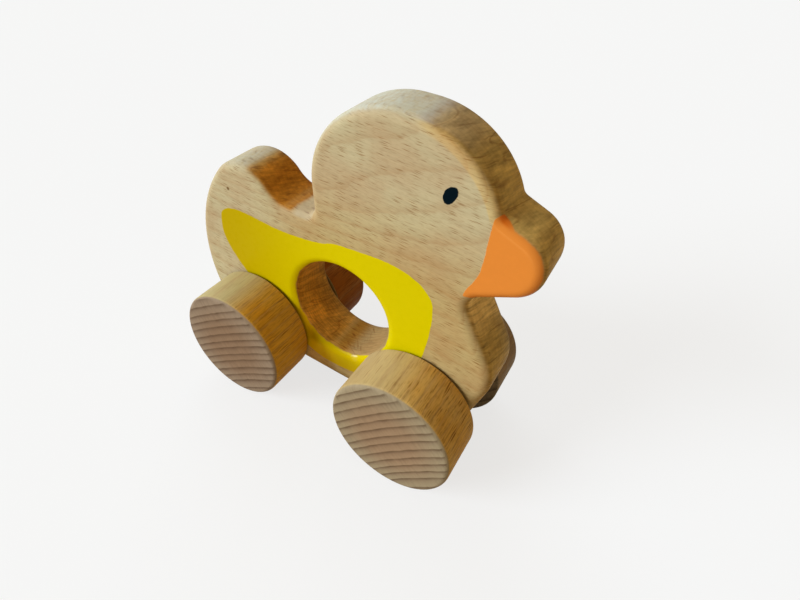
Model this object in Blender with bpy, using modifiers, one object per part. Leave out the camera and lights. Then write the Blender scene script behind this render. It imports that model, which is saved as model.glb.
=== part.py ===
"""Wooden chick on wheels: a shaped board, two dowel axles and four wheels sliced from a rod.

Metres, +Z up. The chick faces +X and its left side is at +Y. The origin is on the floor, under the
middle of the body's length. The silhouette is drawn on a template whose zero is on the axle line,
midway between the axles.
"""

import math

import bmesh
import bpy
from mathutils import Vector

# Board
BODY_THICKNESS = 0.0175
BODY_EDGE_ROUND = 0.0030
GRIP_HOLE_DIAMETER = 0.0340
GRIP_HOLE_X = 0.0011
GRIP_HOLE_HEIGHT = 0.0209

# Wheels and axles
WHEELBASE = 0.0621
WHEEL_DIAMETER = 0.0400
WHEEL_WIDTH = 0.0168
WHEEL_EDGE_ROUND = 0.0015
WHEEL_CAP_THICKNESS = 0.0058
WHEEL_SIDE_PLAY = 0.0007
AXLE_DIAMETER = 0.0080
AXLE_END_CHAMFER = 0.0006
AXLE_RUNNING_CLEARANCE = 0.0004
AXLE_GLUE_GAP = 0.0002

# Silhouette below the grip hole: belly, feet and the two ends, measured from the axles
BELLY_DROP = 0.0100
REAR_FOOT_LENGTH = 0.0132
REAR_FOOT_RADIUS = 0.0116
FRONT_FOOT_LENGTH = 0.0125
FRONT_FOOT_RADIUS = 0.0180
CHEST_REACH = 0.0222
CHEST_HEIGHT = 0.0224
CHEST_RADIUS = 0.0170
RUMP_REACH = 0.02635
RUMP_LOW_HEIGHT = 0.0092
RUMP_HIGH_HEIGHT = 0.0416
RUMP_RADIUS = 0.0483

# Silhouette above the grip hole: throat, beak, head, saddle and tail
THROAT_X = 0.0391
THROAT_HEIGHT = 0.0463
THROAT_RADIUS = 0.0046
BEAK_TIP_X = 0.0574
BEAK_LOW_HEIGHT = 0.0557
BEAK_HIGH_HEIGHT = 0.0684
BEAK_RADIUS = 0.0095
BROW_X = 0.0449
BROW_HEIGHT = 0.0735
BROW_RADIUS = 0.0025
CROWN_HEIGHT = 0.0916
FOREHEAD_X = 0.0373
FOREHEAD_RADIUS = 0.0310
NAPE_X = -0.0133
NAPE_RADIUS = 0.0258
NECK_X = -0.0088
NECK_RADIUS = 0.0030
SADDLE_HEIGHT = 0.0520
SADDLE_X = -0.0226
SADDLE_RADIUS = 0.0104
TAIL_X = -0.0373
TAIL_HEIGHT = 0.0674
TAIL_RADIUS = 0.0140

# Fineness of the curved faces
ARC_STEP = math.radians(6.0)
EDGE_ROUND_RINGS = 2
HOLE_SIDES = 56
WHEEL_SIDES = 48
AXLE_SIDES = 32
WHEEL_ROUND_STEPS = 4
SMOOTH_ANGLE = math.radians(35.0)
WELD_DISTANCE = 0.000002

# Finishes: linear colour and roughness
BODY_COLOUR = (0.56, 0.42, 0.22, 1.0)
WHEEL_COLOUR = (0.36, 0.23, 0.12, 1.0)
AXLE_COLOUR = (0.50, 0.36, 0.19, 1.0)
BARE_WOOD_ROUGHNESS = 0.55

# Sizes that follow
FRONT_AXLE_X = WHEELBASE / 2
REAR_AXLE_X = -WHEELBASE / 2
AXLE_HEIGHT = WHEEL_DIAMETER / 2
AXLE_BORE_RADIUS = AXLE_DIAMETER / 2 + AXLE_RUNNING_CLEARANCE
SOCKET_RADIUS = AXLE_DIAMETER / 2 + AXLE_GLUE_GAP
SOCKET_DEPTH = WHEEL_WIDTH - WHEEL_CAP_THICKNESS
WHEEL_INNER_FACE_Y = BODY_THICKNESS / 2 + WHEEL_SIDE_PLAY
AXLE_LENGTH = 2 * (WHEEL_INNER_FACE_Y + SOCKET_DEPTH - AXLE_GLUE_GAP)


def clear_scene():
    """Remove every object of the open scene."""
    for obj in list(bpy.data.objects):
        bpy.data.objects.remove(obj, do_unlink=True)


def make_collection(name):
    """Add a collection to the scene."""
    collection = bpy.data.collections.new(name)
    bpy.context.scene.collection.children.link(collection)
    return collection


def make_wood(name, colour):
    """Plain wood finish."""
    material = bpy.data.materials.new(name)
    material.use_nodes = True
    material.diffuse_color = colour
    shader = material.node_tree.nodes["Principled BSDF"]
    shader.inputs["Base Color"].default_value = colour
    shader.inputs["Roughness"].default_value = BARE_WOOD_ROUGHNESS
    shader.inputs["Metallic"].default_value = 0.0
    return material


def silhouette_corners():
    """Corners of the chick's outline as (x, height, radius), anticlockwise from under the rump."""
    rump_x = REAR_AXLE_X - RUMP_REACH
    return [
        (REAR_AXLE_X - REAR_FOOT_LENGTH, -BELLY_DROP, REAR_FOOT_RADIUS),
        (FRONT_AXLE_X + FRONT_FOOT_LENGTH, -BELLY_DROP, FRONT_FOOT_RADIUS),
        (FRONT_AXLE_X + CHEST_REACH, CHEST_HEIGHT, CHEST_RADIUS),
        (THROAT_X, THROAT_HEIGHT, THROAT_RADIUS),
        (BEAK_TIP_X, BEAK_LOW_HEIGHT, BEAK_RADIUS),
        (BEAK_TIP_X, BEAK_HIGH_HEIGHT, BEAK_RADIUS),
        (BROW_X, BROW_HEIGHT, BROW_RADIUS),
        (FOREHEAD_X, CROWN_HEIGHT, FOREHEAD_RADIUS),
        (NAPE_X, CROWN_HEIGHT, NAPE_RADIUS),
        (NECK_X, SADDLE_HEIGHT, NECK_RADIUS),
        (SADDLE_X, SADDLE_HEIGHT, SADDLE_RADIUS),
        (TAIL_X, TAIL_HEIGHT, TAIL_RADIUS),
        (rump_x, RUMP_HIGH_HEIGHT, RUMP_RADIUS),
        (rump_x, RUMP_LOW_HEIGHT, RUMP_RADIUS),
    ]


def rounded_outline(corners):
    """Points of a closed outline whose corners are arcs, each limited by the two edges it joins."""
    count = len(corners)
    spots = [Vector(corner[:2]) for corner in corners]
    edges = [spots[(i + 1) % count] - spots[i] for i in range(count)]
    turns = [edges[i - 1].angle_signed(edges[i]) for i in range(count)]
    reach = [corners[i][2] * math.tan(abs(turns[i]) / 2) for i in range(count)]
    room = [min(1.0, edges[i].length / (reach[i] + reach[(i + 1) % count])) for i in range(count)]
    points = []
    for i in range(count):
        limit = min(room[i - 1], room[i])
        start = spots[i] - edges[i - 1].normalized() * reach[i] * limit
        towards_centre = math.copysign(corners[i][2] * limit, -turns[i])
        heading = math.atan2(edges[i - 1].y, edges[i - 1].x)
        centre = start + towards_centre * Vector((-math.sin(heading), math.cos(heading)))
        steps = max(1, math.ceil(abs(turns[i]) / ARC_STEP))
        for step in range(steps + 1):
            angle = heading - turns[i] * step / steps
            points.append(centre + towards_centre * Vector((math.sin(angle), -math.cos(angle))))
    return points


def circle(x, height, radius, sides):
    """Points of a circle on the template."""
    angles = [2 * math.pi * i / sides for i in range(sides)]
    return [Vector((x + radius * math.cos(a), height + radius * math.sin(a))) for a in angles]


def add_loop(curve, points):
    """Add one closed run of straight pieces to a flat curve."""
    spline = curve.splines.new("POLY")
    spline.points.add(len(points) - 1)
    for slot, point in zip(spline.points, points):
        slot.co = (point.x, point.y, 0.0, 1.0)
    spline.use_cyclic_u = True


def curve_to_mesh(curve_object, collection):
    """Replace a curve object by a welded mesh object of the same name and place."""
    name = curve_object.name
    evaluated = curve_object.evaluated_get(bpy.context.evaluated_depsgraph_get())
    mesh = bpy.data.meshes.new_from_object(evaluated)
    bm = bmesh.new()
    bm.from_mesh(mesh)
    bmesh.ops.remove_doubles(bm, verts=bm.verts, dist=WELD_DISTANCE)
    bmesh.ops.recalc_face_normals(bm, faces=bm.faces)
    bm.to_mesh(mesh)
    bm.free()
    place = curve_object.matrix_world.copy()
    bpy.data.objects.remove(curve_object, do_unlink=True)
    mesh_object = bpy.data.objects.new(name, mesh)
    mesh_object.matrix_world = place
    collection.objects.link(mesh_object)
    return mesh_object


def add_cylinder(name, radius, length, sides, collection):
    """Cylinder along its own Z, centred on its origin."""
    mesh = bpy.data.meshes.new(name)
    bm = bmesh.new()
    bmesh.ops.create_cone(
        bm, cap_ends=True, segments=sides, radius1=radius, radius2=radius, depth=length
    )
    bm.to_mesh(mesh)
    bm.free()
    cylinder = bpy.data.objects.new(name, mesh)
    collection.objects.link(cylinder)
    return cylinder


def build_body(outline, middle_x, parts, cutters, material):
    """The board: outline and grip hole with rounded edges, then a bore for each axle."""
    curve = bpy.data.curves.new("body", "CURVE")
    curve.dimensions = "2D"
    curve.fill_mode = "BOTH"
    curve.extrude = BODY_THICKNESS / 2 - BODY_EDGE_ROUND
    curve.bevel_depth = BODY_EDGE_ROUND
    curve.bevel_resolution = EDGE_ROUND_RINGS
    curve.offset = -BODY_EDGE_ROUND
    add_loop(curve, outline)
    add_loop(curve, circle(GRIP_HOLE_X, GRIP_HOLE_HEIGHT, GRIP_HOLE_DIAMETER / 2, HOLE_SIDES))
    drawn = bpy.data.objects.new("body", curve)
    drawn.location = (-middle_x, 0.0, AXLE_HEIGHT)
    drawn.rotation_euler = (math.pi / 2, 0.0, 0.0)
    parts.objects.link(drawn)
    bpy.context.view_layer.update()
    body = curve_to_mesh(drawn, parts)
    body.name = "body"
    body.data.materials.clear()
    body.data.materials.append(material)
    for end, axle_x in (("front", FRONT_AXLE_X), ("rear", REAR_AXLE_X)):
        cutter = add_cylinder(
            f"{end}_axle_bore", AXLE_BORE_RADIUS, 2 * BODY_THICKNESS, AXLE_SIDES, cutters
        )
        cutter.location = (axle_x - middle_x, 0.0, AXLE_HEIGHT)
        cutter.rotation_euler = (math.pi / 2, 0.0, 0.0)
        cutter.hide_render = True
        cutter.display_type = "WIRE"
        bore = body.modifiers.new(f"{end}_axle_bore", "BOOLEAN")
        bore.operation = "DIFFERENCE"
        bore.object = cutter
    body.data.shade_smooth()
    body.data.set_sharp_from_angle(angle=SMOOTH_ANGLE)
    return body


def wheel_profile():
    """Half section of a wheel: outer face, rounded rim, tread, inner face, blind axle socket."""
    radius = WHEEL_DIAMETER / 2
    half = WHEEL_WIDTH / 2
    rim = radius - WHEEL_EDGE_ROUND
    points = [(0.0, half)]
    for corner, turned in ((half - WHEEL_EDGE_ROUND, 0.0), (WHEEL_EDGE_ROUND - half, math.pi / 2)):
        for step in range(WHEEL_ROUND_STEPS + 1):
            angle = math.pi / 2 - turned - math.pi / 2 * step / WHEEL_ROUND_STEPS
            points.append(
                (rim + WHEEL_EDGE_ROUND * math.cos(angle), corner + WHEEL_EDGE_ROUND * math.sin(angle))
            )
    points.append((SOCKET_RADIUS, -half))
    points.append((SOCKET_RADIUS, SOCKET_DEPTH - half))
    points.append((0.0, SOCKET_DEPTH - half))
    return points


def wheel_mesh(material):
    """Profile of a wheel in its own XZ plane, to be turned about Z."""
    mesh = bpy.data.meshes.new("wheel")
    bm = bmesh.new()
    verts = [bm.verts.new((x, 0.0, z)) for x, z in wheel_profile()]
    for upper, lower in zip(verts, verts[1:]):
        bm.edges.new((upper, lower))
    bm.to_mesh(mesh)
    bm.free()
    mesh.materials.append(material)
    return mesh


def build_wheel(name, mesh, hub, side, parts):
    """One wheel, its outer face away from the body; side is -1 for the right and +1 for the left."""
    wheel = bpy.data.objects.new(name, mesh)
    wheel.parent = hub
    wheel.location = (0.0, side * (WHEEL_INNER_FACE_Y + WHEEL_WIDTH / 2), 0.0)
    wheel.rotation_euler = (-side * math.pi / 2, 0.0, 0.0)
    turning = wheel.modifiers.new("turning", "SCREW")
    turning.axis = "Z"
    turning.angle = 2 * math.pi
    turning.steps = WHEEL_SIDES
    turning.render_steps = WHEEL_SIDES
    turning.use_merge_vertices = True
    turning.merge_threshold = WELD_DISTANCE
    turning.use_smooth_shade = True
    parts.objects.link(wheel)
    return wheel


def build_axle(name, hub, parts, material):
    """Dowel across the body with chamfered ends."""
    axle = add_cylinder(name, AXLE_DIAMETER / 2, AXLE_LENGTH, AXLE_SIDES, parts)
    axle.parent = hub
    axle.rotation_euler = (math.pi / 2, 0.0, 0.0)
    axle.data.materials.append(material)
    chamfer = axle.modifiers.new("end_chamfer", "BEVEL")
    chamfer.width = AXLE_END_CHAMFER
    chamfer.segments = 1
    chamfer.limit_method = "ANGLE"
    axle.data.shade_smooth()
    axle.data.set_sharp_from_angle(angle=SMOOTH_ANGLE)
    return axle


def build_wheelset(end, axle_x, mesh, parts, axle_material):
    """An axle and its two wheels, carried by an empty on the axle's line."""
    hub = bpy.data.objects.new(f"{end}_wheelset", None)
    hub.location = (axle_x, 0.0, AXLE_HEIGHT)
    hub.empty_display_size = AXLE_DIAMETER
    parts.objects.link(hub)
    build_axle(f"{end}_axle", hub, parts, axle_material)
    build_wheel(f"{end}_right_wheel", mesh, hub, -1, parts)
    build_wheel(f"{end}_left_wheel", mesh, hub, 1, parts)


def main():
    """Build the whole toy."""
    clear_scene()
    parts = make_collection("wheeled_chick_toy")
    cutters = make_collection("cutters")
    outline = rounded_outline(silhouette_corners())
    middle_x = (min(p.x for p in outline) + max(p.x for p in outline)) / 2
    build_body(outline, middle_x, parts, cutters, make_wood("body_beech", BODY_COLOUR))
    mesh = wheel_mesh(make_wood("wheel_beech", WHEEL_COLOUR))
    axle_material = make_wood("axle_beech", AXLE_COLOUR)
    build_wheelset("front", FRONT_AXLE_X - middle_x, mesh, parts, axle_material)
    build_wheelset("rear", REAR_AXLE_X - middle_x, mesh, parts, axle_material)
    bpy.context.view_layer.update()


main()
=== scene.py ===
"""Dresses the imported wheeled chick: a sawn beech board with painted wings, beak and eyes, on turned wheels.

Lengths are metres, except where a name or a docstring says millimetres. The chick faces +X and its left
side is at +Y.
"""

import logging
import math
from collections.abc import Iterable, Sequence
from dataclasses import dataclass
from enum import Enum
from functools import reduce
from typing import Union

import bmesh
import bpy
import numpy as np
from mathutils import Euler, Matrix, Vector


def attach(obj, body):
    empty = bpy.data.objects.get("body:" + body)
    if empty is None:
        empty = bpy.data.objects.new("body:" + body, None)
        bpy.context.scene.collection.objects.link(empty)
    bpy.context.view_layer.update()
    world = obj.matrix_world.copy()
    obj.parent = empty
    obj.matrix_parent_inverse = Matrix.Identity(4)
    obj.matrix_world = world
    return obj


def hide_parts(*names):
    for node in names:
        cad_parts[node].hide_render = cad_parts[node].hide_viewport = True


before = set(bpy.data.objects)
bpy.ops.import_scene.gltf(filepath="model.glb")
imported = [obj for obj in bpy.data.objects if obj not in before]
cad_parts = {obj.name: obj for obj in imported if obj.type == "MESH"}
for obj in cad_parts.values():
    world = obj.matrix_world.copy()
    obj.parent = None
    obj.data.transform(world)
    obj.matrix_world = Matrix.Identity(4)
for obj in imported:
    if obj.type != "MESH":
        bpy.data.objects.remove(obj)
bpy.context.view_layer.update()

LOG = logging.getLogger("wheeled_chick")
MM = 0.001
WHEELBASE = 0.0621
AXLE_HEIGHT = 0.0200
AXLE_WAY = (0.0, 1.0, 0.0)
ORIGIN = (0.0, 0.0, 0.0)
MID_GREY = (0.5, 0.5, 0.5)
SHARP_ANGLE = math.radians(35.0)
WELD_DISTANCE = 1e-6

Point = tuple[float, float, float]
Colour = tuple[float, float, float, float]
Spot = tuple[float, float]
Run = list[tuple[Vector, Vector]]
BMesh = bmesh.types.BMesh
Edges = list[bmesh.types.BMEdge]
Operand = Union["Signal", float]
Hue = Union["Signal", "Tone", Colour]


class Side(Enum):
    """The toy's two sides, as the sign of y."""

    RIGHT = -1
    LEFT = 1


class End(Enum):
    """The toy's two axles, as the sign of x."""

    REAR = -1
    FRONT = 1


class Signal:
    """A shader socket that takes part in Python sums."""

    def __init__(self, graph: "Graph", socket: bpy.types.NodeSocket) -> None:
        """Keeps the socket and the graph that it belongs to."""
        self.graph = graph
        self.socket = socket

    def _math(self, operation: str, *operands: Operand) -> "Signal":
        """Adds one Math node for the operands and gives its result."""
        inputs = dict(zip(("Value", "Value_001"), operands))
        return self.graph.node("ShaderNodeMath", {"operation": operation}, inputs)

    def __add__(self, other: Operand) -> "Signal":
        """Sum."""
        return self._math("ADD", self, other)

    def __sub__(self, other: Operand) -> "Signal":
        """Difference."""
        return self._math("SUBTRACT", self, other)

    def __rsub__(self, other: Operand) -> "Signal":
        """Difference, with the number first."""
        return self._math("SUBTRACT", other, self)

    def __mul__(self, other: Operand) -> "Signal":
        """Product."""
        return self._math("MULTIPLY", self, other)

    def __truediv__(self, other: Operand) -> "Signal":
        """Quotient."""
        return self._math("DIVIDE", self, other)

    def __abs__(self) -> "Signal":
        """Size without sign."""
        return self._math("ABSOLUTE", self)

    __radd__ = __add__
    __rmul__ = __mul__

    def root(self) -> "Signal":
        """Square root."""
        return self._math("SQRT", self)

    def bearing(self, run: Operand) -> "Signal":
        """Angle whose tangent is this over run."""
        return self._math("ARCTAN2", self, run)

    def fraction(self) -> "Signal":
        """Part after the point."""
        return self._math("FRACT", self)

    def at_least(self, other: Operand) -> "Signal":
        """The larger of the two."""
        return self._math("MAXIMUM", self, other)

    def rise(self, low: float, high: float) -> "Signal":
        """Smooth step up, from 0 at low to 1 at high."""
        inputs = {"Value": self, "From Min": low, "From Max": high}
        return self.graph.node("ShaderNodeMapRange", {"interpolation_type": "SMOOTHSTEP"}, inputs)

    def fade(self, low: float, high: float) -> "Signal":
        """Smooth step down, from 1 at low to 0 at high."""
        return 1 - self.rise(low, high)

    def step(self, start: float, full: float) -> "Signal":
        """Smooth step either way, from 0 at start to 1 at full."""
        return self.rise(start, full) if start < full else self.fade(full, start)

    def between(self, up: Spot, down: Spot) -> "Signal":
        """1 between a smooth step up and a smooth step down."""
        return self.rise(*up) * self.fade(*down)


class Graph:
    """The node tree of one material or world."""

    def __init__(self, owner: Union[bpy.types.Material, bpy.types.World]) -> None:
        """Starts with an empty tree."""
        owner.use_nodes = True
        self.tree = owner.node_tree
        self.tree.nodes.clear()

    def node(
        self, kind: str, settings: dict | None = None, inputs: dict | None = None, out: str = ""
    ) -> Signal:
        """Adds one node.

        Args:
            kind: the node's type.
            settings: its properties, set first; "stops" gives a ramp its (place, shade) pairs.
            inputs: values or links of its sockets, by identifier.
            out: identifier of the output that is wanted; the first one if empty.

        Returns:
            The output as a signal.
        """
        made = self.tree.nodes.new(kind)
        for key, value in (settings or {}).items():
            if key != "stops":
                setattr(made, key, value)
                continue
            for place, _ in value[1:-1]:
                made.color_ramp.elements.new(place)
            for element, (place, shade) in zip(made.color_ramp.elements, value):
                element.position, element.color = place, (shade, shade, shade, 1.0)
        sockets = {socket.identifier: socket for socket in made.inputs}
        for key, value in (inputs or {}).items():
            if isinstance(value, Signal):
                self.tree.links.new(value.socket, sockets[key])
            else:
                sockets[key].default_value = value.linear() if isinstance(value, Tone) else value
        outputs = {socket.identifier: socket for socket in made.outputs}
        return Signal(self, outputs[out] if out else next(iter(outputs.values()), None))

    def close(self, sockets: dict) -> None:
        """Ends a material with a Principled shader that has those sockets."""
        shader = self.node("ShaderNodeBsdfPrincipled", None, sockets)
        self.node("ShaderNodeOutputMaterial", None, {"Surface": shader})

    def object_normal(self) -> Signal:
        """The face's direction in the toy's own frame."""
        return self.node("ShaderNodeTexCoord", out="Normal")

    def attribute(self, name: str) -> Signal:
        """A number that the mesh carries at each point."""
        return self.node("ShaderNodeAttribute", {"attribute_name": name}, out="Fac")

    def framed(self, origin: Sequence[float] = ORIGIN, turn: Sequence[float] = ORIGIN) -> Signal:
        """The point in a frame that lies and is turned so in the toy's own, in millimetres."""
        at = {"Vector": self.node("ShaderNodeTexCoord", out="Object"), "Location": origin, "Rotation": turn}
        return self.node("ShaderNodeMapping", {"vector_type": "TEXTURE"}, at | {"Scale": (MM, MM, MM)})

    def vector(self, operation: str, first: Signal, second: Union[Signal, Point], out: str = "") -> Signal:
        """Adds one Vector Math node for two vectors."""
        inputs = {"Vector": first, "Vector_001": second}
        return self.node("ShaderNodeVectorMath", {"operation": operation}, inputs, out)

    def split(self, vector: Signal) -> tuple[Signal, Signal, Signal]:
        """The x, y and z of a vector."""
        node = self.node("ShaderNodeSeparateXYZ", None, {"Vector": vector}).socket.node
        return tuple(Signal(self, socket) for socket in node.outputs)

    def join(self, x: Operand, y: Operand, z: Operand) -> Signal:
        """A vector from its three parts."""
        return self.node("ShaderNodeCombineXYZ", None, {"X": x, "Y": y, "Z": z})

    def noise(self, vector: Signal, length: float, detail: float = 2.0, out: str = "") -> Signal:
        """Soft noise about 0.5 with swells of that length, or with out "Color" three such noises in one."""
        inputs = {"Vector": vector, "Scale": 1 / length, "Detail": detail}
        return self.node("ShaderNodeTexNoise", None, inputs, out)

    def grain(self, place: Sequence[Signal], lengths: Point, detail: float = 1.0) -> Signal:
        """Soft noise about 0.5, whose swells have a length of their own in each direction."""
        return self.noise(self.join(*(way / length for way, length in zip(place, lengths))), 1.0, detail)

    def blend(self, share: Operand, first: Hue, second: Hue, way: str = "MIX") -> Signal:
        """Mixes a share of the second colour into the first, by that blend type."""
        inputs = {"Factor_Float": share, "A_Color": first, "B_Color": second}
        return self.node("ShaderNodeMix", {"data_type": "RGBA", "blend_type": way}, inputs, "Result_Color")

    def stack(self, base: Hue, coats: Iterable[tuple[Operand, Hue]], way: str = "MIX") -> Signal:
        """Mixes coats, each a share and a colour, into a base one after the other."""
        return reduce(lambda below, coat: self.blend(coat[0], below, coat[1], way), coats, base)

    def shaded(self, colour: Hue, shade: Signal, share: Operand = 1.0) -> Signal:
        """Multiplies a share of a colour by a shade."""
        return self.blend(share, colour, self.join(shade, shade, shade), "MULTIPLY")


@dataclass(frozen=True)
class Tone:
    """A colour as a screen shows it, from 0 to 255."""

    red: float
    green: float
    blue: float

    def linear(self) -> Colour:
        """The colour in linear light by the sRGB curve, with alpha."""
        shares = [part / 255 for part in (self.red, self.green, self.blue)]
        return (*[s / 12.92 if s <= 0.04045 else ((s + 0.055) / 1.055) ** 2.4 for s in shares], 1.0)


@dataclass(frozen=True)
class BeechTones:
    """The colours of oiled beech."""

    pale: Tone = Tone(194, 180, 142)
    rosy: Tone = Tone(187, 165, 128)
    sap: Tone = Tone(200, 178, 136)
    ring: Tone = Tone(170, 136, 96)
    fleck: Tone = Tone(140, 104, 62)
    end_pale: Tone = Tone(196, 161, 91)
    end_ring: Tone = Tone(104, 72, 32)
    end_rim: Tone = Tone(162, 147, 117)
    # Pale tone for rubbed edges, which also serves as a painted highlight.
    burnished: Tone = Tone(124, 80, 30)
    worn: Tone = Tone(212, 203, 180)


# The wheels' woods carry painted light and shade. On the right wheels the pale sapwood falls on the lit upper
# left and the saturated heartwood on the shaded front, partly real wood and partly painted light and shade.
# The two darker, redder woods of the left wheels are painted shade for wheels that sit in shade.
GOLDEN = BeechTones(
    pale=Tone(214, 174, 101), rosy=Tone(208, 158, 73), sap=Tone(194, 168, 116), fleck=Tone(122, 80, 24),
    end_pale=Tone(155, 126, 97), end_ring=Tone(84, 60, 42), end_rim=Tone(159, 144, 115),
)
TAWNY = BeechTones(
    pale=Tone(213, 160, 60), rosy=Tone(210, 147, 34), sap=Tone(188, 171, 122), fleck=Tone(118, 70, 12),
    end_pale=Tone(139, 111, 86), end_ring=Tone(80, 56, 40), end_rim=Tone(152, 132, 110),
)
RUSSET = BeechTones(
    pale=Tone(147, 126, 100), rosy=Tone(134, 110, 80), sap=Tone(150, 134, 110),
    end_pale=Tone(136, 122, 106), end_ring=Tone(78, 66, 54), end_rim=Tone(136, 124, 108),
)
UMBER = BeechTones(
    pale=Tone(158, 95, 38), rosy=Tone(144, 80, 24), sap=Tone(186, 152, 104), fleck=Tone(96, 52, 14),
    end_pale=Tone(150, 120, 92), end_ring=Tone(84, 60, 42), end_rim=Tone(152, 136, 110),
)


@dataclass(frozen=True)
class BeechCut:
    """How one piece lies in its log.

    Attributes:
        centre: a point inside the piece.
        fibre: the direction of the fibres.
        heart: the direction from the piece to the heart of the log.
        heart_distance: how far off the heart is, in millimetres.
        ring_gap: the width of a year ring, in millimetres.
    """

    centre: Point
    fibre: Point
    heart: Point
    heart_distance: float
    ring_gap: float

    def log_frame(self) -> tuple[Vector, Euler]:
        """Places the log.

        Returns:
            The origin on the heart, and the turn that lays x along the fibres and y from the heart outwards.
        """
        along = Vector(self.fibre).normalized()
        heart = Vector(self.heart)
        outwards = -(heart - heart.project(along)).normalized()
        origin = Vector(self.centre) - outwards * self.heart_distance * MM
        return origin, Matrix((along, outwards, along.cross(outwards))).transposed().to_euler()


@dataclass(frozen=True)
class Layers:
    """What a finish gives to the shader: colour, roughness, height in millimetres, and gloss coat."""

    colour: Signal
    roughness: Signal
    height: Signal
    coat: Operand = 0.0


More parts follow.
